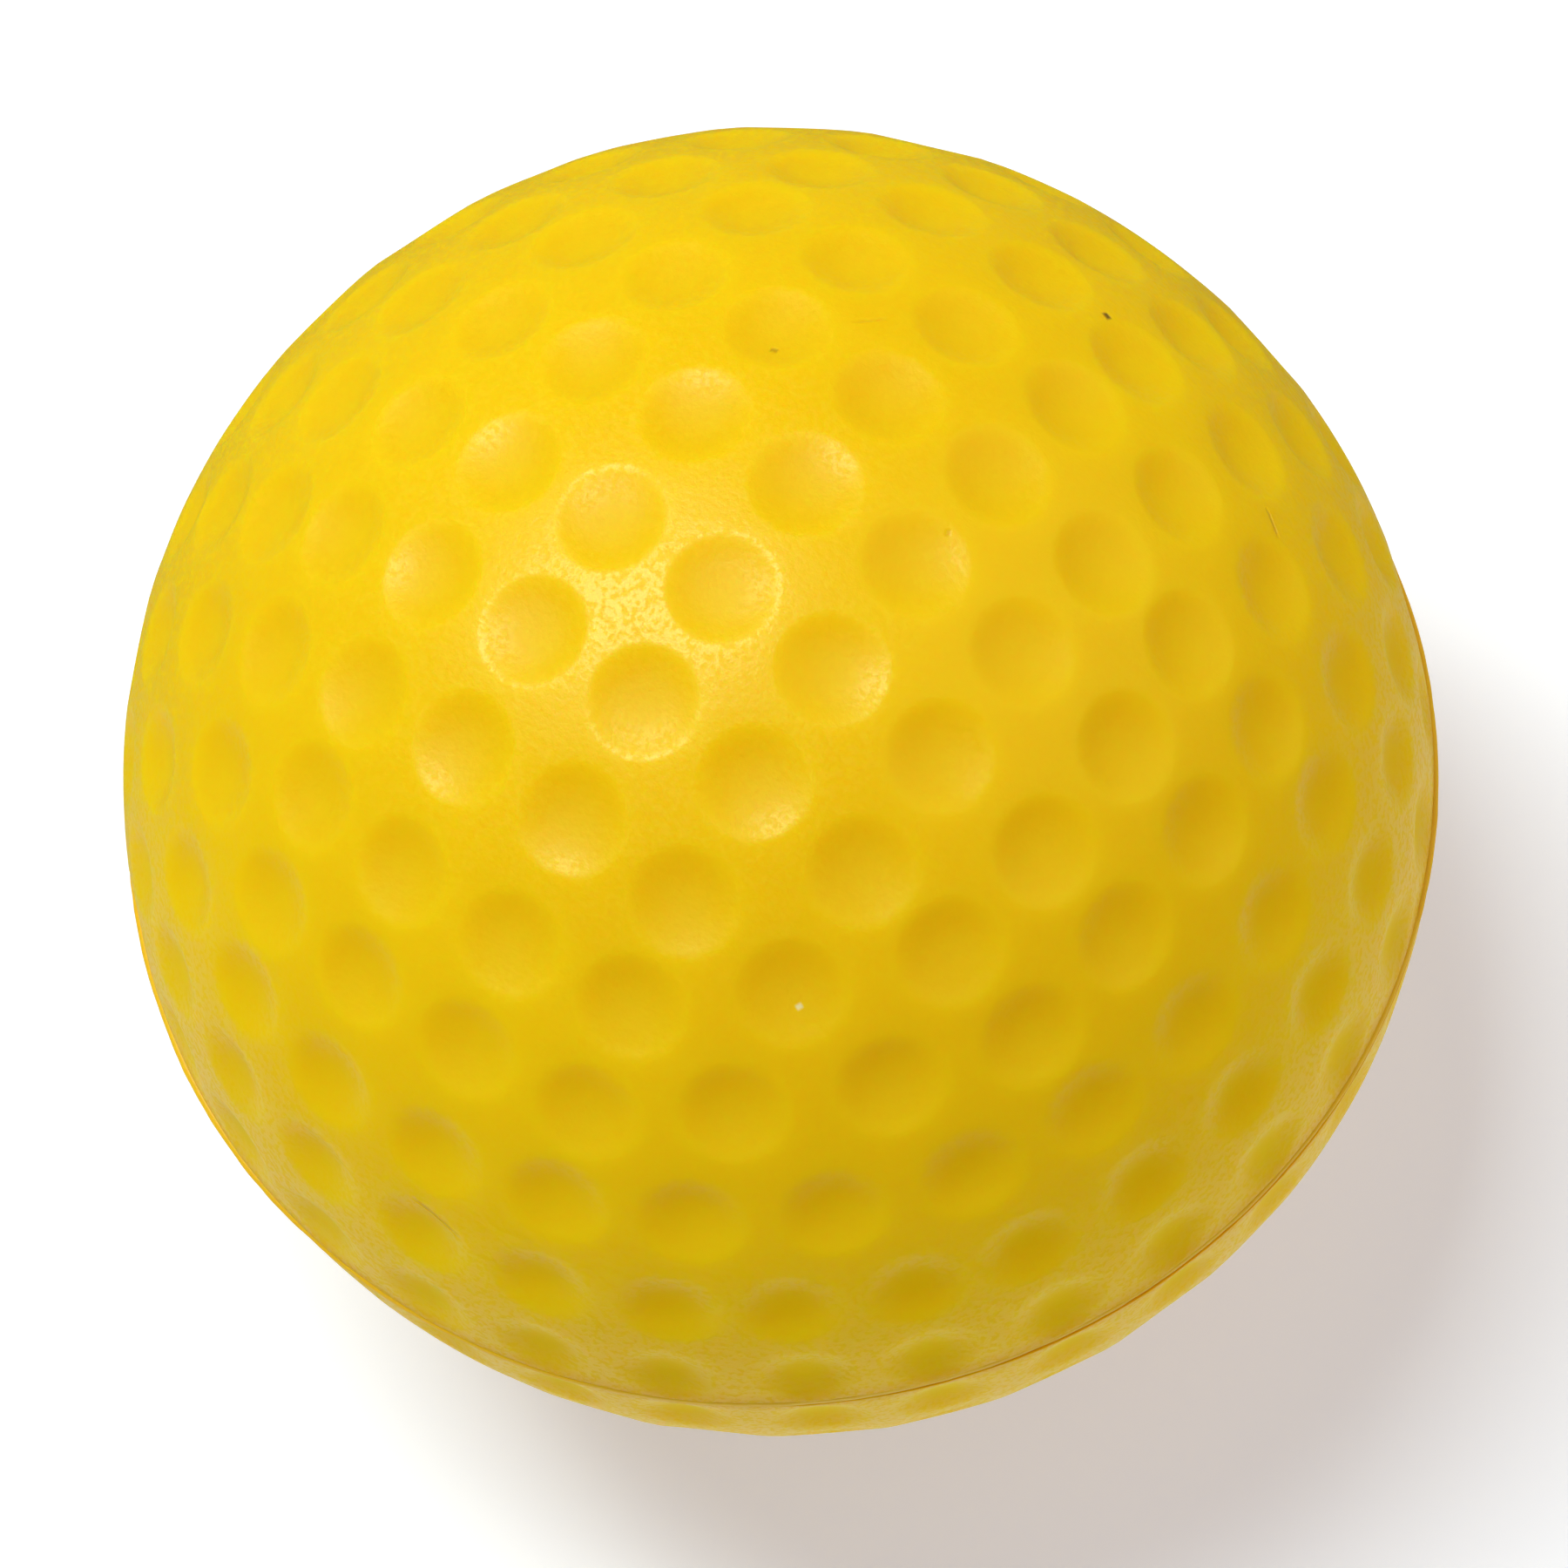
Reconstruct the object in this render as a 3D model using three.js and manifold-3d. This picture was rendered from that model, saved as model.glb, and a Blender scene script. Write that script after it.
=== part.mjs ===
// A squeeze ball with a golf-ball surface, moulded from self-skinning polyurethane foam. Millimetres, +Z up.
//
// The origin is the ball's centre. +Z is the direction in which the two-part mould opens, so the parting plane
// is z = 0 and the ball stands 31.5 mm above and below it.
//
// The moulding has four regions, one mesh each:
//   foam_core     the springy open-cell inside
//   upper_skin    the dense dimpled skin that formed against the upper mould half
//   lower_skin    the same against the lower mould half
//   parting_bead  the thin raised line where the mould halves met
// In use the ball is pressed flatter along Z: upper_skin travels down towards lower_skin, and the foam between
// them gives way and springs back.

import * as THREE from "three";
import { ConvexGeometry } from "three/addons/geometries/ConvexGeometry.js";
import { mergeVertices } from "three/addons/utils/BufferGeometryUtils.js";
import Module from "manifold-3d";

// Driving dimensions
const BALL_RADIUS = 31.5; // over the lands between the dimples, for a 63 mm ball
const SKIN_THICKNESS = 5; // at the lands; the foam is densest outside and its density falls off over this depth
const CLEARANCE = 0.3; // between neighbouring regions
const DIMPLE_DEPTH = 0.55; // from the ball's surface to the middle of a dimple
const DIMPLE_ANGLE = 4.75; // degrees from a dimple's middle to its rim, seen from the centre
const DIMPLE_SIDES = 8;
const BEAD_THICKNESS = 0.3;
const BEAD_PROUD = 0.3; // how far the bead stands out of the lands
const BEAD_SEGMENTS = 72;
const SPHERE_DETAIL = 6; // subdivisions of an icosahedron
const SAME_POINT = 1e-4; // points closer than this are one point

// The dimples lie in eight equal triangles, one for each octant. In a triangle they stand in rows parallel to
// its three sides, and ROWS_PER_OCTANT is the number of rows. The middle of each side is left one dimple short,
// which makes 42 dimples a triangle and 336 on the ball.
const ROWS_PER_OCTANT = 9;
const ROW_STEP = 11.07; // degrees between neighbouring rows
const FIRST_ROW = 5.61; // degrees from a side of the triangle to its nearest row
const PAIR_STEP = 10.6; // degrees between the two dimples that face each other over a triangle's middle

const radians = THREE.MathUtils.degToRad;

// The direction of the dimple whose rows are counted from the planes x = 0, y = 0 and z = 0.
function dimpleDirection(rows) {
  const [near, middle, far] = [0, 1, 2].sort((a, b) => rows[a] - rows[b]);
  const reach = (axis) => Math.sin(radians(FIRST_ROW + ROW_STEP * rows[axis]));
  const at = [0, 0, 0];
  at[near] = reach(near);
  const rest = 1 - at[near] ** 2; // what the other two coordinates' squares add up to
  const facesItsMirrorImage = rows[far] - rows[middle] <= 2 && rows[near] <= 1;
  if (rows[far] === rows[middle]) {
    at[far] = Math.sqrt(rest / 2);
    at[middle] = at[far];
  } else if (facesItsMirrorImage) {
    const difference = Math.SQRT2 * Math.sin(radians(PAIR_STEP / 2));
    const sum = Math.sqrt(2 * rest - difference ** 2);
    at[far] = (sum + difference) / 2;
    at[middle] = (sum - difference) / 2;
  } else {
    at[middle] = reach(middle);
    at[far] = Math.sqrt(rest - at[middle] ** 2);
  }
  return new THREE.Vector3(...at);
}

// All the dimples' directions: one triangle's worth, mirrored into each octant.
function dimpleDirections() {
  const last = ROWS_PER_OCTANT - 1;
  const octant = [];
  for (let i = 0; i <= last; i++) {
    for (let j = 0; j <= last - i; j++) {
      const rows = [i, j, last - i - j];
      const onMiddleOfSide = Math.min(...rows) === 0 && Math.max(...rows) === last / 2;
      if (!onMiddleOfSide) octant.push(dimpleDirection(rows));
    }
  }
  const signs = [1, -1];
  return signs.flatMap((x) =>
    signs.flatMap((y) =>
      signs.flatMap((z) => octant.map((d) => d.clone().multiply(new THREE.Vector3(x, y, z)))),
    ),
  );
}

// Points round the rim of a dimple.
function rimPoints(direction) {
  const side = new THREE.Vector3(0, 0, 1).cross(direction).normalize();
  const up = new THREE.Vector3().crossVectors(direction, side);
  const out = Math.sin(radians(DIMPLE_ANGLE));
  const along = Math.cos(radians(DIMPLE_ANGLE));
  return Array.from({ length: DIMPLE_SIDES }, (_, i) => {
    const turn = ((i + 0.5) / DIMPLE_SIDES) * 2 * Math.PI;
    return direction
      .clone()
      .multiplyScalar(along)
      .addScaledVector(side, out * Math.cos(turn))
      .addScaledVector(up, out * Math.sin(turn))
      .multiplyScalar(BALL_RADIUS);
  });
}

// The whole ball with its dimples, as one closed geometry. The hull of points on a sphere joins each dimple's
// middle to its rim, and then the middles are pushed in.
function dimpledBall() {
  const directions = dimpleDirections();
  const middles = directions.map((d) => d.clone().multiplyScalar(BALL_RADIUS));
  const poles = [0, 1, 2].flatMap((axis) =>
    [BALL_RADIUS, -BALL_RADIUS].map((r) => new THREE.Vector3().setComponent(axis, r)),
  );
  const geometry = new ConvexGeometry([...middles, ...poles, ...directions.flatMap(rimPoints)]);
  const position = geometry.getAttribute("position");
  const point = new THREE.Vector3();
  const pushed = (BALL_RADIUS - DIMPLE_DEPTH) / BALL_RADIUS;
  for (let i = 0; i < position.count; i++) {
    point.fromBufferAttribute(position, i);
    if (middles.some((m) => m.distanceTo(point) < SAME_POINT)) {
      point.multiplyScalar(pushed);
      position.setXYZ(i, point.x, point.y, point.z);
    }
  }
  return geometry;
}

const wasm = await Module();
wasm.setup();

// A closed geometry as a solid, and a solid as a geometry
function solid(geometry) {
  const bare = geometry.clone();
  bare.deleteAttribute("normal");
  bare.deleteAttribute("uv");
  const merged = mergeVertices(bare, SAME_POINT);
  return new wasm.Manifold(
    new wasm.Mesh({
      numProp: 3,
      vertProperties: new Float32Array(merged.getAttribute("position").array),
      triVerts: new Uint32Array(merged.index.array),
    }),
  );
}

function geometryOf(manifold) {
  const { vertProperties, triVerts } = manifold.getMesh();
  const geometry = new THREE.BufferGeometry();
  geometry.setAttribute("position", new THREE.BufferAttribute(new Float32Array(vertProperties), 3));
  geometry.setIndex(new THREE.BufferAttribute(new Uint32Array(triVerts), 1));
  geometry.computeVertexNormals();
  return geometry;
}

// The half of the dimpled shell above (side = 1) or below (side = -1) the bead.
function skinGeometry(side) {
  const lowest = BEAD_THICKNESS / 2 + CLEARANCE;
  const roomy = 3 * BALL_RADIUS;
  const half = new THREE.BoxGeometry(roomy, roomy, roomy).translate(0, 0, side * (lowest + roomy / 2));
  const inside = new THREE.IcosahedronGeometry(BALL_RADIUS - SKIN_THICKNESS, SPHERE_DETAIL);
  return geometryOf(solid(dimpledBall()).intersect(solid(half)).subtract(solid(inside)));
}

function coreGeometry() {
  return new THREE.IcosahedronGeometry(BALL_RADIUS - SKIN_THICKNESS - CLEARANCE, SPHERE_DETAIL);
}

// A flat ring with a rounded outer edge.
function beadGeometry() {
  const inner = BALL_RADIUS - SKIN_THICKNESS;
  const outer = BALL_RADIUS + BEAD_PROUD;
  const half = BEAD_THICKNESS / 2;
  const profile = [
    [inner, -half],
    [outer - half, -half],
    [outer, 0],
    [outer - half, half],
    [inner, half],
    [inner, -half],
  ].map(([r, z]) => new THREE.Vector2(r, z));
  return new THREE.LatheGeometry(profile, BEAD_SEGMENTS).rotateX(Math.PI / 2);
}

const skinMaterial = new THREE.MeshStandardMaterial({ color: 0xeabd10, roughness: 0.4, metalness: 0 });
const beadMaterial = new THREE.MeshStandardMaterial({ color: 0xd8a80c, roughness: 0.45, metalness: 0 });
const coreMaterial = new THREE.MeshStandardMaterial({ color: 0xf2dc7a, roughness: 0.95, metalness: 0 });

function piece(name, geometry, material) {
  const mesh = new THREE.Mesh(geometry, material);
  mesh.name = name;
  return mesh;
}

const ball = new THREE.Group();
ball.name = "stress_ball";
ball.add(
  piece("foam_core", coreGeometry(), coreMaterial),
  piece("upper_skin", skinGeometry(1), skinMaterial),
  piece("lower_skin", skinGeometry(-1), skinMaterial),
  piece("parting_bead", beadGeometry(), beadMaterial),
);

export default ball;
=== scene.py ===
"""A dimpled foam stress ball on a plain pale floor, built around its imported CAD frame. Metres, +Z up."""

import math
from collections import namedtuple

import bmesh
import bpy
from mathutils import Matrix, Vector, noise
from mathutils.geometry import delaunay_2d_cdt


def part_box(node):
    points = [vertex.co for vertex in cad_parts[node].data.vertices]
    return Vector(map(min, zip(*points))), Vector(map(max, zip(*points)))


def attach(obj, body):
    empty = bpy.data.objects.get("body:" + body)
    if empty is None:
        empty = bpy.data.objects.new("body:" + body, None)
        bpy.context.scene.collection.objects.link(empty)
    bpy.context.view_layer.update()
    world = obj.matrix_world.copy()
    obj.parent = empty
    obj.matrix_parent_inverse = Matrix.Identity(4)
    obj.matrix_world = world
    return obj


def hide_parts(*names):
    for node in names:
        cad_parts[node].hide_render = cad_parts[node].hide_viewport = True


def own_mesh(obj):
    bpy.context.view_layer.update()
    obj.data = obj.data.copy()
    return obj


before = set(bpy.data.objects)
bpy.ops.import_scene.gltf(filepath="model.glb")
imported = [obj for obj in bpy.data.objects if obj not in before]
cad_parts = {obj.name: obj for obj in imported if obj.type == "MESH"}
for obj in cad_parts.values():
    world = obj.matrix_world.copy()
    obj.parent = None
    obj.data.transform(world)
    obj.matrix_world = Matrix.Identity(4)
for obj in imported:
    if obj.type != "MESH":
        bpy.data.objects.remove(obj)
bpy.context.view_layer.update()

MM = 0.001

# The ball, from the CAD frame
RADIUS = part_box("upper_skin")[1].z
CORE_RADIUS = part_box("foam_core")[1].x
SKIN_THICKNESS = 5 * MM  # as in the CAD: more than a real dense skin, so that light has room to spread in it
SKIN_INSIDE = RADIUS - SKIN_THICKNESS
INSIDE_ROWS = 11  # rows of faces from the skin's edge to the top of its hollow

# Dimples: angles are in degrees, seen from the ball's centre
ROWS = 9  # rows of dimples in one octant
FIRST_ROW = 5.61
ROW_STEP = 11.07
PAIR_STEP = 10.6
DIMPLE_EDGE = 4.95  # where a dimple ends and the land begins
CRISP_TURNING = 3.9  # where a dimple's wall starts to bend over into the land, high on the ball
SOFT_TURNING = 3.1  # the same near the parting line, where the dimples look softer
DIMPLE_DEPTH = 0.55 * MM
SHALLOW_DEPTH = 0.41 * MM  # beside the parting line, where they look fainter
DIMPLE_SEGMENTS = 40
BOWL_RINGS = 6
RIM_RINGS = 6
LAND_SPACING = 0.9 * MM  # between the points on the lands
LAND_MARGIN = 0.45  # degrees kept free of those points round a dimple

# The parting line
EDGE_HEIGHT = 0.32 * MM  # where a skin starts to turn in beside the bead
EDGE_GAP = 0.02  # between the edge and the lowest points on the lands, as a share of the radius
EDGE_TURN = ((0.28, 0.006), (0.25, 0.03), (0.235, 0.08), (0.23, 0.3), (0.23, 5))  # heights and insets, in mm
LIP_RISE = 0.10 * MM  # the skins swell a little towards the parting line
LIP_WIDTH = 0.7 * MM
BEAD_SEGMENTS = 540
BEAD_STEPS = 10  # across the bead
BEAD_ROOT = 0.02 * MM  # where the bead's roundness starts, out of the lands
BEAD_HALF_WIDTH = 0.222 * MM
BEAD_RISE = 0.19 * MM  # out of the lands, on average
BEAD_SWELL = 0.11 * MM  # how much higher the bead is on two opposite sides
BEAD_HIGH_SIDE = math.radians(49)
MISMATCH = 0.14 * MM  # how far the lower mould half stood off to one side
MISMATCH_DIRECTION = Vector((0.8, 0.6, 0.0))

# Blemishes on the skin: angles in degrees, and a strength from 0 to 1
Mark = namedtuple("Mark", "azimuth elevation heading half_length half_width strength")
# Pinholes: the bump sinks them, and their dark colour is painted shade.
PINHOLES = (
    Mark(72.2, 47.4, 0, 0.26 * MM, 0.24 * MM, 1),
    Mark(107.2, 74.4, 0, 0.24 * MM, 0.22 * MM, 0.4),
    Mark(29.6, 70.4, 0, 0.18 * MM, 0.18 * MM, 0.2),
)
PALE_SPECKS = (Mark(-44.5, 47.3, 20, 0.20 * MM, 0.19 * MM, 1),)
SCRATCHES = (
    Mark(-82.8, 20.0, -28, 1.5 * MM, 0.20 * MM, 1),
    Mark(44.6, 38.1, 20, 0.8 * MM, 0.13 * MM, 1),
    Mark(90.5, 67.8, 50, 0.9 * MM, 0.16 * MM, 0.25),
)


# ---------------------------------------------------------------- camera, light and floor


def make_camera():
    """A long lens above the ball. Returns the directions to the picture's right, its top and the camera."""
    azimuth = math.radians(49.36)
    elevation = math.radians(65.83)
    roll = math.radians(13.78)
    distance = 9.95 * RADIUS
    aim_right = 0.295 * MM
    aim_down = 0.11 * MM
    back = Vector((
        math.sin(azimuth) * math.cos(elevation),
        -math.cos(azimuth) * math.cos(elevation),
        math.sin(elevation),
    ))
    level = Vector((math.cos(azimuth), math.sin(azimuth), 0))
    upright = back.cross(level)
    right = level * math.cos(roll) - upright * math.sin(roll)
    up = back.cross(right)
    data = bpy.data.cameras.new("camera")
    data.sensor_width = 36
    data.lens = 148.8
    data.clip_start = 0.01
    data.clip_end = 20
    camera = bpy.data.objects.new("camera", data)
    bpy.context.scene.collection.objects.link(camera)
    turn = Matrix((right, up, back)).transposed()
    target = right * aim_right - up * aim_down
    camera.matrix_world = Matrix.Translation(target + back * distance) @ turn.to_4x4()
    bpy.context.scene.camera = camera
    return right, up, back


def softbox(name, direction, upright, distance, width, height, power, colour):
    """A rectangular light that faces the ball."""
    data = bpy.data.lights.new(name, "AREA")
    data.shape = "RECTANGLE"
    data.size = width
    data.size_y = height
    data.energy = power
    data.color = colour
    light = bpy.data.objects.new(name, data)
    bpy.context.scene.collection.objects.link(light)
    back = direction.normalized()
    side = upright.cross(back).normalized()
    top = back.cross(side)
    turn = Matrix((side, top, back)).transposed()
    light.matrix_world = Matrix.Translation(back * distance) @ turn.to_4x4()
    light.visible_camera = False


def make_lights(right, up, back):
    """A key light from the picture's upper left and a weak warm one from its right."""
    key = right * -0.371 + up * 0.485 + back * 0.79
    fill = right * 0.7 + up * 0.4 + back * 0.6
    softbox(
        "key_softbox", key, up, distance=0.75, width=0.44, height=0.20, power=4.5, colour=(0.945, 1.0, 0.93)
    )
    softbox(
        "fill_softbox", fill, up, distance=0.7, width=0.7, height=0.7, power=0.82, colour=(1.0, 0.80, 0.60)
    )
    make_world(right, up)
    bpy.context.scene.view_settings.view_transform = "Standard"


def make_world(right, up):
    """A warm pale room. Only glancing reflections see its lower half, which is dim at the picture's top."""
    world = bpy.data.worlds.new("studio")
    world.use_nodes = True
    tree = world.node_tree
    background = tree.nodes["Background"]
    place = tree.nodes.new("ShaderNodeTexCoord")

    def ramp(direction, low, high, to_low, to_high):
        """A value that changes evenly along a direction."""
        along = tree.nodes.new("ShaderNodeVectorMath")
        along.operation = "DOT_PRODUCT"
        along.inputs[1].default_value = direction
        tree.links.new(place.outputs["Generated"], along.inputs[0])
        node = tree.nodes.new("ShaderNodeMapRange")
        node.inputs["From Min"].default_value = low
        node.inputs["From Max"].default_value = high
        node.inputs["To Min"].default_value = to_low
        node.inputs["To Max"].default_value = to_high
        tree.links.new(along.outputs["Value"], node.inputs["Value"])
        return node.outputs["Result"]

    def mix(kind, share, above, below, socket):
        """Feeds a socket with one value above the horizon and another below it."""
        node = tree.nodes.new("ShaderNodeMix")
        node.data_type = kind
        tree.links.new(share, node.inputs["Factor"])
        first, second = [s for s in node.inputs if s.name in ("A", "B") and s.enabled]
        first.default_value = above
        if isinstance(below, bpy.types.NodeSocket):
            tree.links.new(below, second)
        else:
            second.default_value = below
        tree.links.new(next(s for s in node.outputs if s.enabled), socket)

    room_colour = (1, 0.83, 0.42, 1)
    room_strength = 0.31
    sheen_colour = (1, 0.93, 0.88, 1)
    sheen_strength = ramp(up * 0.985 - right * 0.17, -0.1, 0.22, 0.66, 0.10)
    below_horizon = ramp(Vector((0, 0, -1)), 0.15, 0.7, 0, 1)
    mix("RGBA", below_horizon, room_colour, sheen_colour, background.inputs["Color"])
    mix("FLOAT", below_horizon, room_strength, sheen_strength, background.inputs["Strength"])
    bpy.context.scene.world = world


def make_floor():
    """Pale paper with a little light of its own, which keeps the ball's shadow faint.

    It is left out of reflections, so that the room below the horizon shows in the sheen at the ball's edge.
    """
    material = bpy.data.materials.new("floor_paper")
    material.use_nodes = True
    shader = material.node_tree.nodes["Principled BSDF"]
    shader.inputs["Base Color"].default_value = (0.86, 0.90, 0.96, 1)
    shader.inputs["Roughness"].default_value = 0.9
    shader.inputs["Specular IOR Level"].default_value = 0.1
    shader.inputs["Emission Color"].default_value = (0.52, 0.60, 1.0, 1)
    shader.inputs["Emission Strength"].default_value = 0.40
    half = 3.0  # metres
    mesh = bpy.data.meshes.new("floor")
    corners = [(-half, -half, 0), (half, -half, 0), (half, half, 0), (-half, half, 0)]
    mesh.from_pydata(corners, [], [(0, 1, 2, 3)])
    mesh.materials.append(material)
    floor = bpy.data.objects.new("floor", mesh)
    bpy.context.scene.collection.objects.link(floor)
    floor.location.z = -RADIUS
    floor.visible_glossy = False


# ---------------------------------------------------------------- the dimples' places


def dimple_direction(rows):
    """The unit direction of the dimple whose rows are counted from the planes x = 0, y = 0 and z = 0."""
    near, middle, far = sorted(range(3), key=lambda axis: rows[axis])

    def reach(axis):
        return math.sin(math.radians(FIRST_ROW + ROW_STEP * rows[axis]))

    at = [0.0, 0.0, 0.0]
    at[near] = reach(near)
    rest = 1 - at[near] ** 2
    if rows[far] == rows[middle]:
        at[far] = at[middle] = math.sqrt(rest / 2)
    elif rows[far] - rows[middle] <= 2 and rows[near] <= 1:
        difference = math.sqrt(2) * math.sin(math.radians(PAIR_STEP / 2))
        total = math.sqrt(2 * rest - difference**2)
        at[far] = (total + difference) / 2
        at[middle] = (total - difference) / 2
    else:
        at[middle] = reach(middle)
        at[far] = math.sqrt(rest - at[middle] ** 2)
    return Vector(at)


def upper_dimples():
    """The directions of the dimples above the parting plane."""
    last = ROWS - 1
    octant = [
        dimple_direction((i, j, last - i - j))
        for i in range(ROWS)
        for j in range(ROWS - i)
        if sorted((i, j, last - i - j)) != [0, last // 2, last // 2]
    ]
    return [Vector((x * d.x, y * d.y, d.z)) for x in (1, -1) for y in (1, -1) for d in octant]


# ---------------------------------------------------------------- the dimpled skins


def evenly_round(count):
    """Evenly spaced turns about an axis, in radians."""
    return [2 * math.pi * i / count for i in range(count)]


def pointing(turn, flat=1, height=0):
    """The vector with a turn about +Z in radians, a length across it and a height along it."""
    return Vector((flat * math.cos(turn), flat * math.sin(turn), height))


def join_rings(first, second):
    """Quads between two rings of as many points."""
    count = len(first)
    return [(first[i], second[i], second[(i + 1) % count], first[(i + 1) % count]) for i in range(count)]


def across(direction):
    """Two unit vectors square to a direction and to each other."""
    side = Vector((0, 0, 1)).cross(direction).normalized()
    return side, direction.cross(side)


def point_round(direction, angle, turn):
    """The unit direction at an angle from another one, turned about it. Angle in degrees, turn in radians."""
    side, top = across(direction)
    out = side * math.cos(turn) + top * math.sin(turn)
    return direction * math.cos(math.radians(angle)) + out * math.sin(math.radians(angle))


def climb(value, low, high):
    """0 up to the low value, 1 from the high one on, and even in between."""
    return min(max((value - low) / (high - low), 0), 1)


def dimple_drop(angle, turning, depth):
    """How far the surface lies below the lands, at an angle from a dimple's middle. Angles in degrees.

    The bowl is round up to the turning angle, and from there its wall bends over into the land.
    """
    width = DIMPLE_EDGE - turning
    steepest = depth / (width * 2 / 3 + turning / 2)
    if angle >= DIMPLE_EDGE:
        return 0.0
    if angle > turning:
        bent = (angle - turning) / width
        return steepest * width * (2 / 3 - bent + bent**3 / 3)
    return depth - steepest * angle**2 / turning / 2


def dimple_rings(middle):
    """Angle and depth of a dimple's middle and of the rings of points from there to the land around it."""
    turning = SOFT_TURNING + (CRISP_TURNING - SOFT_TURNING) * climb(middle.z, 0.2, 0.7)
    depth = SHALLOW_DEPTH + (DIMPLE_DEPTH - SHALLOW_DEPTH) * climb(middle.z, 0.05, 0.4)
    bowl = [turning * i / BOWL_RINGS for i in range(BOWL_RINGS + 1)]
    rim = [turning + (DIMPLE_EDGE - turning) * i / RIM_RINGS for i in range(1, RIM_RINGS + 1)]
    return [(angle, dimple_drop(angle, turning, depth)) for angle in bowl + rim]


def dimple_gloss(angle):
    """How glossy a dimple is, from 0 in its dull middle to 1 on the land around it."""
    wall = climb(angle, 0.8, 3.4)
    rim = climb(angle, 4.2, 4.8)
    return 0.8 * wall * wall * (3 - 2 * wall) + 0.2 * rim


def uneven(direction):
    """The slight waviness of moulded foam, in metres."""
    broad_height = 0.06 * MM
    small_height = 0.02 * MM
    broad = noise.noise(direction * 3.1 + Vector((7, 3, 5)))
    small = noise.noise(direction * 13 + Vector((2, 9, 4)))
    return broad * broad_height + small * small_height


def lip(height):
    """How far the skin swells outwards, at a height above the parting plane."""
    return LIP_RISE * math.exp(-((height / LIP_WIDTH) ** 2))


def land_points(middles, lowest):
    """Directions on the lands, from a spiral with even spacing over the upper half."""
    count = int(4 * math.pi * RADIUS**2 / LAND_SPACING**2)
    clear = math.cos(math.radians(DIMPLE_EDGE + LAND_MARGIN))
    golden = math.pi * (3 - math.sqrt(5))
    found = []
    for i in range(count):
        z = 1 - (2 * i + 1) / count
        if z < lowest:
            break
        point = pointing(i * golden, math.sqrt(1 - z * z), z)
        if all(point.dot(middle) < clear for middle in middles):
            found.append(point)
    return found


def land_triangles(on_sphere):
    """Triangles that join points on the upper half and leave the dimples open.

    Each point comes with its index, its direction and the dimple whose ring it is on. A map that keeps
    circles round turns the half ball into a disc, where the triangles are found.
    """
    all_in_outline = 0
    same_point = 1e-7
    places = [Vector((d.x, d.y)) / (1 + d.z) for _, d, _ in on_sphere]

    # The sides of the rings, of which the last one goes back to the ring's first point
    sides = [
        (i, i + 1 - DIMPLE_SEGMENTS if (i + 1) % DIMPLE_SEGMENTS == 0 else i + 1)
        for i, (_, _, dimple) in enumerate(on_sphere)
        if dimple is not None
    ]
    _, _, triangles, came_from, _, _ = delaunay_2d_cdt(places, sides, [], all_in_outline, same_point)
    found = []
    for triangle in triangles:
        corners = [on_sphere[came_from[corner][0]] for corner in triangle]
        dimples = {dimple for _, _, dimple in corners}
        if len(dimples) > 1 or None in dimples:
            found.append(tuple(index for index, _, _ in corners))
    return found


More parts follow.
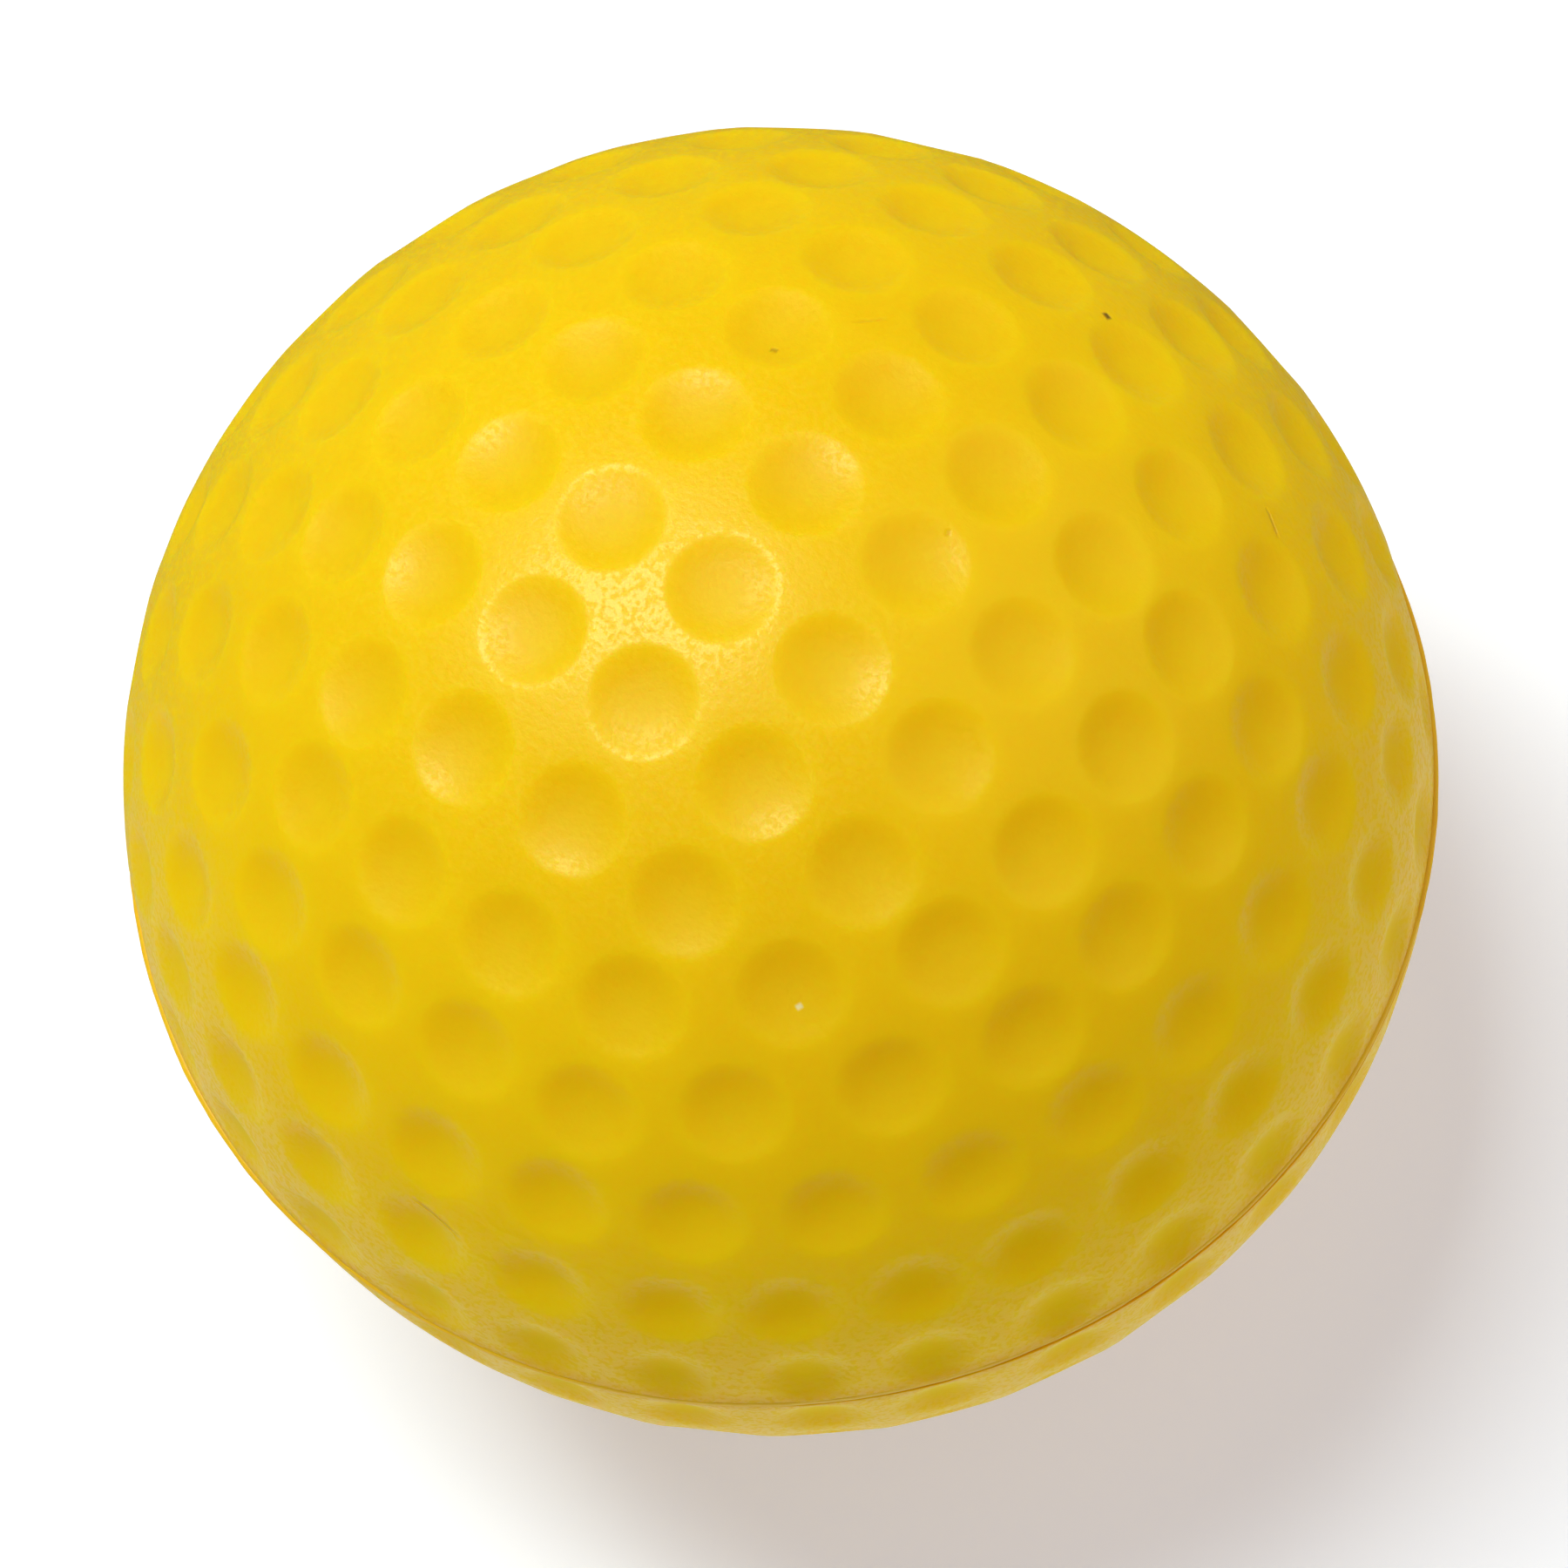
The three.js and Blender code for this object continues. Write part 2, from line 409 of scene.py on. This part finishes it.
class HalfSkin:
    """Points and faces of the upper skin, with its thickness: dimpled outside, smooth inside."""

    def __init__(self):
        self.points = []
        self.faces = []
        self.gloss = []
        self.on_sphere = []  # index, direction and dimple of each point that the lands' triangles may use
        middles = upper_dimples()
        for middle in middles:
            self.add_dimple(middle)
        edge = self.add_lands(middles)
        self.add_inside(self.turn_in(edge))

    def put(self, point, gloss=1.0):
        """Adds a point and returns its index."""
        self.points.append(point)
        self.gloss.append(gloss)
        return len(self.points) - 1

    def put_outside(self, direction, drop=0.0, gloss=1.0):
        """A point on the outside of the ball, or below it by the drop."""
        reach = RADIUS + uneven(direction) + lip(direction.z * RADIUS) - drop
        return self.put(direction * reach, gloss)

    def add_dimple(self, middle):
        """A fan and rings of quads; the outermost ring lies on the land."""
        (_, deepest), *rings = dimple_rings(middle)
        centre = self.put_outside(middle, deepest, dimple_gloss(0))
        previous = None
        for angle, drop in rings:
            ring = [
                self.put_outside(point_round(middle, angle, turn), drop, dimple_gloss(angle))
                for turn in evenly_round(DIMPLE_SEGMENTS)
            ]
            if previous is None:
                count = len(ring)
                self.faces += [(centre, ring[i], ring[(i + 1) % count]) for i in range(count)]
            else:
                self.faces += join_rings(previous, ring)
            previous = ring
        self.on_sphere += [(index, self.points[index].normalized(), centre) for index in previous]

    def add_lands(self, middles):
        """Triangles between the dimples and down to the skin's edge. Returns the edge's ring of points."""
        edge_z = EDGE_HEIGHT / RADIUS
        flat = math.sqrt(1 - edge_z**2)
        for direction in land_points(middles, edge_z + EDGE_GAP):
            self.on_sphere.append((self.put_outside(direction), direction, None))
        edge = []
        for turn in evenly_round(BEAD_SEGMENTS):
            direction = pointing(turn, flat, edge_z)
            edge.append(self.put_outside(direction))
            self.on_sphere.append((edge[-1], direction, None))
        self.faces += land_triangles(self.on_sphere)
        return edge

    def turn_in(self, edge):
        """The edge turns in beside the bead. Returns the ring at the inside of the skin."""
        previous = edge
        for height, inset in EDGE_TURN:
            ring = []
            for turn in evenly_round(BEAD_SEGMENTS):
                direction = pointing(turn)
                reach = RADIUS + uneven(direction) + lip(height * MM) - inset * MM
                ring.append(self.put(direction * reach + Vector((0, 0, height * MM))))
            self.faces += join_rings(previous, ring)
            previous = ring
        return previous

    def add_inside(self, previous):
        """The smooth hollow for the core."""
        for row in range(1, INSIDE_ROWS):
            rise = math.pi / 2 * row / INSIDE_ROWS
            ring = [
                self.put(pointing(turn, math.cos(rise), math.sin(rise)) * SKIN_INSIDE)
                for turn in evenly_round(BEAD_SEGMENTS)
            ]
            self.faces += join_rings(previous, ring)
            previous = ring
        top = self.put(Vector((0, 0, SKIN_INSIDE)))
        count = len(previous)
        self.faces += [(previous[i], top, previous[(i + 1) % count]) for i in range(count)]


def mesh_object(name, points, faces, material):
    """A piece from its points and faces, which are turned to face outwards."""
    mesh = bpy.data.meshes.new(name)
    mesh.from_pydata(points, [], faces)
    work = bmesh.new()
    work.from_mesh(mesh)
    bmesh.ops.recalc_face_normals(work, faces=work.faces[:])
    work.to_mesh(mesh)
    work.free()
    return finished(name, mesh, material)


def finished(name, mesh, material):
    """A smooth piece that remembers where each point was before any squeeze, for its material."""
    mesh.materials.append(material)
    mesh.polygons.foreach_set("use_smooth", [True] * len(mesh.polygons))
    places = [coordinate for vert in mesh.vertices for coordinate in vert.co]
    attribute = mesh.attributes.new("unsqueezed_place", "FLOAT_VECTOR", "POINT")
    attribute.data.foreach_set("vector", places)
    piece = bpy.data.objects.new(name, mesh)
    bpy.context.scene.collection.objects.link(piece)
    return piece


def make_skins(material):
    """The upper skin, and the lower one as its mirror image, a little to one side."""
    half = HalfSkin()
    upper = mesh_object("upper_skin_visual", half.points, half.faces, material)
    shift = MISMATCH_DIRECTION * MISMATCH
    mirrored = [Vector((p.x, p.y, -p.z)) + shift for p in half.points]
    lower = mesh_object("lower_skin_visual", mirrored, half.faces, material)
    for piece in (upper, lower):
        attribute = piece.data.attributes.new("gloss", "FLOAT", "POINT")
        attribute.data.foreach_set("value", half.gloss)
    return upper, lower


def bead_profile():
    """Shares of the bead's rise and heights, from below it to above it."""
    turns = [math.pi * (i / BEAD_STEPS - 0.5) for i in range(BEAD_STEPS + 1)]
    return [(math.cos(turn), BEAD_HALF_WIDTH * math.sin(turn)) for turn in turns]


def bead_rise(turn):
    """How far the bead stands out of the lands, with its unevenness, at a turn about +Z."""
    direction = pointing(turn)
    rise = BEAD_RISE + BEAD_SWELL * math.cos(2 * (turn - BEAD_HIGH_SIDE))
    slow_waves = noise.noise(direction * 5) * 0.06 * MM
    quick_waves = noise.noise(direction * 31) * 0.03 * MM
    return rise + slow_waves + quick_waves


def make_bead(material):
    """The low rounded ridge at the parting line, as a profile carried round the ball."""
    profile = bead_profile()
    points = []
    for turn in evenly_round(BEAD_SEGMENTS):
        direction = pointing(turn)
        rise = bead_rise(turn) - BEAD_ROOT
        outer = [(RADIUS + BEAD_ROOT + share * rise, z) for share, z in profile]
        outline = [(SKIN_INSIDE, -BEAD_HALF_WIDTH), *outer, (SKIN_INSIDE, BEAD_HALF_WIDTH)]
        points += [direction * reach + Vector((0, 0, z)) for reach, z in outline]
    count = len(profile) + 2
    faces = []
    for i in range(BEAD_SEGMENTS):
        j = (i + 1) % BEAD_SEGMENTS
        for low in range(count):
            high = (low + 1) % count
            faces.append((i * count + low, i * count + high, j * count + high, j * count + low))
    return mesh_object("parting_bead_visual", points, faces, material)


def make_core(material):
    """The open-cell foam inside, with its coarse cells."""
    sunk = 0.12 * MM
    cell_depth = 0.10 * MM
    work = bmesh.new()
    bmesh.ops.create_icosphere(work, subdivisions=6, radius=CORE_RADIUS)
    for vert in work.verts:
        direction = vert.co.normalized()
        cells = noise.noise(direction * 46) + 0.6 * noise.noise(direction * 90)
        vert.co -= direction * (sunk + cell_depth * cells)
    mesh = bpy.data.meshes.new("foam_core_visual")
    work.to_mesh(mesh)
    work.free()
    return finished("foam_core_visual", mesh, material)


# ---------------------------------------------------------------- materials


class Nodes:
    """A material's node tree, with short calls to add and join nodes."""

    def __init__(self, name):
        self.material = bpy.data.materials.new(name)
        self.material.use_nodes = True
        self.tree = self.material.node_tree
        self.shader = self.tree.nodes["Principled BSDF"]
        self.place = self.add("ShaderNodeAttribute", attribute_name="unsqueezed_place").outputs["Vector"]

    def add(self, kind, values=None, **settings):
        """A new node, with its settings and with values or links for its inputs."""
        node = self.tree.nodes.new(kind)
        for name, value in settings.items():
            setattr(node, name, value)
        for name, value in (values or {}).items():
            if isinstance(value, bpy.types.NodeSocket):
                self.tree.links.new(value, node.inputs[name])
            else:
                node.inputs[name].default_value = value
        return node

    def noise(self, scale, detail=2.0, roughness=0.5):
        values = {"Vector": self.place, "Scale": scale, "Detail": detail, "Roughness": roughness}
        return self.add("ShaderNodeTexNoise", values).outputs["Fac"]

    def spread(self, value, low, high, to_low=0.0, to_high=1.0):
        values = {"Value": value, "From Min": low, "From Max": high, "To Min": to_low, "To Max": to_high}
        return self.add("ShaderNodeMapRange", values).outputs["Result"]

    def math(self, operation, a, b):
        return self.add("ShaderNodeMath", {0: a, 1: b}, operation=operation).outputs[0]

    def vector(self, operation, a, b):
        node = self.add("ShaderNodeVectorMath", {0: a, 1: b}, operation=operation)
        return next(socket for socket in node.outputs if socket.enabled)

    def mix(self, share, a, b):
        """A colour between two others."""
        node = self.add("ShaderNodeMix", data_type="RGBA")
        for name, value in (("Factor", share), ("A", a), ("B", b)):
            socket = next(s for s in node.inputs if s.name == name and s.enabled)
            if isinstance(value, bpy.types.NodeSocket):
                self.tree.links.new(value, socket)
            else:
                socket.default_value = value
        return next(s for s in node.outputs if s.enabled)

    def bump(self, height, distance, strength=1.0, under=None):
        values = {"Height": height, "Distance": distance, "Strength": strength}
        if under is not None:
            values["Normal"] = under
        return self.add("ShaderNodeBump", values).outputs["Normal"]

    def link(self, value, name):
        self.tree.links.new(value, self.shader.inputs[name])

    def put(self, name, value):
        self.shader.inputs[name].default_value = value


def mark_mask(nodes, mark):
    """The mark's strength on a short straight mark on the ball, and 0 elsewhere."""
    rise = math.radians(mark.elevation)
    middle = pointing(math.radians(mark.azimuth), math.cos(rise), math.sin(rise))
    side, top = across(middle)
    heading = math.radians(mark.heading)
    along = side * math.cos(heading) + top * math.sin(heading)
    unused = (0, 0, 0)
    here = nodes.vector("NORMALIZE", nodes.place, unused)
    offset = nodes.vector("SUBTRACT", here, middle)
    lengthways = nodes.math("ABSOLUTE", nodes.vector("DOT_PRODUCT", offset, along), 0)
    sideways = nodes.vector("LENGTH", nodes.vector("CROSS_PRODUCT", offset, along), unused)
    length = mark.half_length / RADIUS
    width = mark.half_width / RADIUS
    on_length = nodes.spread(lengthways, length * 0.5, length, 1, 0)
    on_width = nodes.spread(sideways, width * 0.3, width, 1, 0)
    return nodes.math("MULTIPLY", nodes.math("MULTIPLY", on_length, on_width), mark.strength)


def marks_mask(nodes, marks):
    """The strongest of some marks at each place."""
    mask = mark_mask(nodes, marks[0])
    for mark in marks[1:]:
        mask = nodes.math("MAXIMUM", mask, mark_mask(nodes, mark))
    return mask


def skin_colour(nodes, gloss, height, pinholes, scratches):
    """Mottled yellow with blemishes, with painted light: dimples a little lighter than the lands, painted
    shade in the pinholes, and painted crease shade, deeper in colour, beside the parting line.
    """
    tone = nodes.spread(nodes.noise(60, 3), 0.3, 0.7)
    # The dimples are painted a little lighter than the lands: painted light in the bowls.
    dimples = nodes.mix(tone, (0.892, 0.587, 0.001, 1), (0.926, 0.620, 0.001, 1))
    lands = nodes.mix(tone, (0.878, 0.575, 0.001, 1), (0.914, 0.609, 0.001, 1))
    colour = nodes.mix(gloss, dimples, lands)
    # Near-black painted shade inside the pinholes, which the bump sinks as well.
    colour = nodes.mix(nodes.math("MULTIPLY", pinholes, 0.9), colour, (0.14, 0.08, 0.01, 1))
    specks = marks_mask(nodes, PALE_SPECKS)
    colour = nodes.mix(nodes.math("MULTIPLY", specks, 0.75), colour, (0.92, 0.86, 0.55, 1))
    colour = nodes.mix(nodes.math("MULTIPLY", scratches, 0.4), colour, (0.45, 0.26, 0.01, 1))
    # Painted crease shade: a darker, deeper orange colour within about a millimetre of the parting line.
    painted_crease_shade = nodes.spread(height, 0.26 * MM, 1.3 * MM, 0.75, 0)
    return nodes.mix(painted_crease_shade, colour, (0.84, 0.44, 0.001, 1))


def skin_normal(nodes, pebbles, blemishes):
    """Pebbled grain over slight waves, with the blemishes sunk into it."""
    normal = nodes.bump(pebbles, 0.035 * MM, 0.5)
    normal = nodes.bump(nodes.noise(900, 2), 0.05 * MM, 0.4, normal)
    return nodes.bump(blemishes, -0.15 * MM, 1.0, normal)


def skin_roughness(nodes, pebbles, gloss):
    """Dull in the dimples, glossier on the lands apart from their pores."""
    dullness = nodes.spread(gloss, 0, 1, 0.58, 0.33)
    pores = nodes.math("MULTIPLY", nodes.spread(pebbles, 0.47, 0.60), gloss)
    return nodes.math("ADD", dullness, nodes.math("MULTIPLY", pores, 0.22))


def skin_material():
    nodes = Nodes("skin_foam")
    gloss = nodes.add("ShaderNodeAttribute", attribute_name="gloss").outputs["Fac"]
    place_z = nodes.add("ShaderNodeSeparateXYZ", {"Vector": nodes.place}).outputs["Z"]
    height = nodes.math("ABSOLUTE", place_z, 0)
    pinholes = marks_mask(nodes, PINHOLES)
    scratches = marks_mask(nodes, SCRATCHES)
    pebbles = nodes.noise(3300, 2, 0.55)
    nodes.link(skin_colour(nodes, gloss, height, pinholes, scratches), "Base Color")
    nodes.link(skin_normal(nodes, pebbles, nodes.math("MAXIMUM", pinholes, scratches)), "Normal")
    nodes.link(skin_roughness(nodes, pebbles, gloss), "Roughness")
    nodes.put("Specular Tint", (1.0, 0.96, 0.62, 1))
    nodes.put("IOR", 1.45)

    # Light spreads far under the surface. It spreads less towards the parting line, because otherwise it
    # leaves through the skin's edge there and what is left looks green.
    nodes.link(nodes.spread(height, 0.2 * MM, 6.5 * MM, 0.3 * MM, 6.0 * MM), "Subsurface Scale")
    nodes.put("Subsurface Weight", 1.0)
    nodes.put("Subsurface Radius", (1.0, 0.55, 0.06))
    return nodes.material


def bead_material():
    """The skin's own foam, painted a little deeper orange than the skin: painted light, for the orange glow
    of light through the thin foam at the parting line.
    """
    nodes = Nodes("bead_foam")
    tone = nodes.spread(nodes.noise(150, 3), 0.3, 0.7)
    # Deeper orange than the skin: a painted glow of light through the foam at the parting line.
    nodes.link(nodes.mix(tone, (0.88, 0.50, 0.001, 1), (0.93, 0.55, 0.002, 1)), "Base Color")
    nodes.link(nodes.bump(nodes.noise(2500, 2), 0.03 * MM, 0.5), "Normal")
    nodes.put("Roughness", 0.45)
    nodes.put("Subsurface Weight", 0.6)
    nodes.put("Subsurface Radius", (1.0, 0.6, 0.1))
    nodes.put("Subsurface Scale", 0.9 * MM)
    return nodes.material


def core_material():
    """Matt pale foam with open cells."""
    nodes = Nodes("core_foam")
    cells = nodes.add("ShaderNodeTexVoronoi", {"Vector": nodes.place, "Scale": 1400.0}).outputs["Distance"]
    cell_middles = (0.95, 0.84, 0.42, 1)
    cell_borders = (0.72, 0.55, 0.16, 1)
    nodes.link(nodes.mix(nodes.spread(cells, 0.1, 0.6), cell_middles, cell_borders), "Base Color")
    nodes.link(nodes.bump(cells, 0.3 * MM, 0.8), "Normal")
    nodes.put("Roughness", 0.95)
    return nodes.material


# ---------------------------------------------------------------- putting it together


def soft(piece, body, node):
    """The piece rides on its body, stands for its CAD node, which is hidden, and gets a mesh of its own."""
    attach(piece, body)
    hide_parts(node)
    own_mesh(piece)


camera_axes = make_camera()
make_lights(*camera_axes)
make_floor()
upper_skin, lower_skin = make_skins(skin_material())
bead = make_bead(bead_material())
core = make_core(core_material())
soft(upper_skin, "upper_half", "upper_skin")
soft(lower_skin, "lower_half", "lower_skin")
soft(bead, "lower_half", "parting_bead")
soft(core, "lower_half", "foam_core")
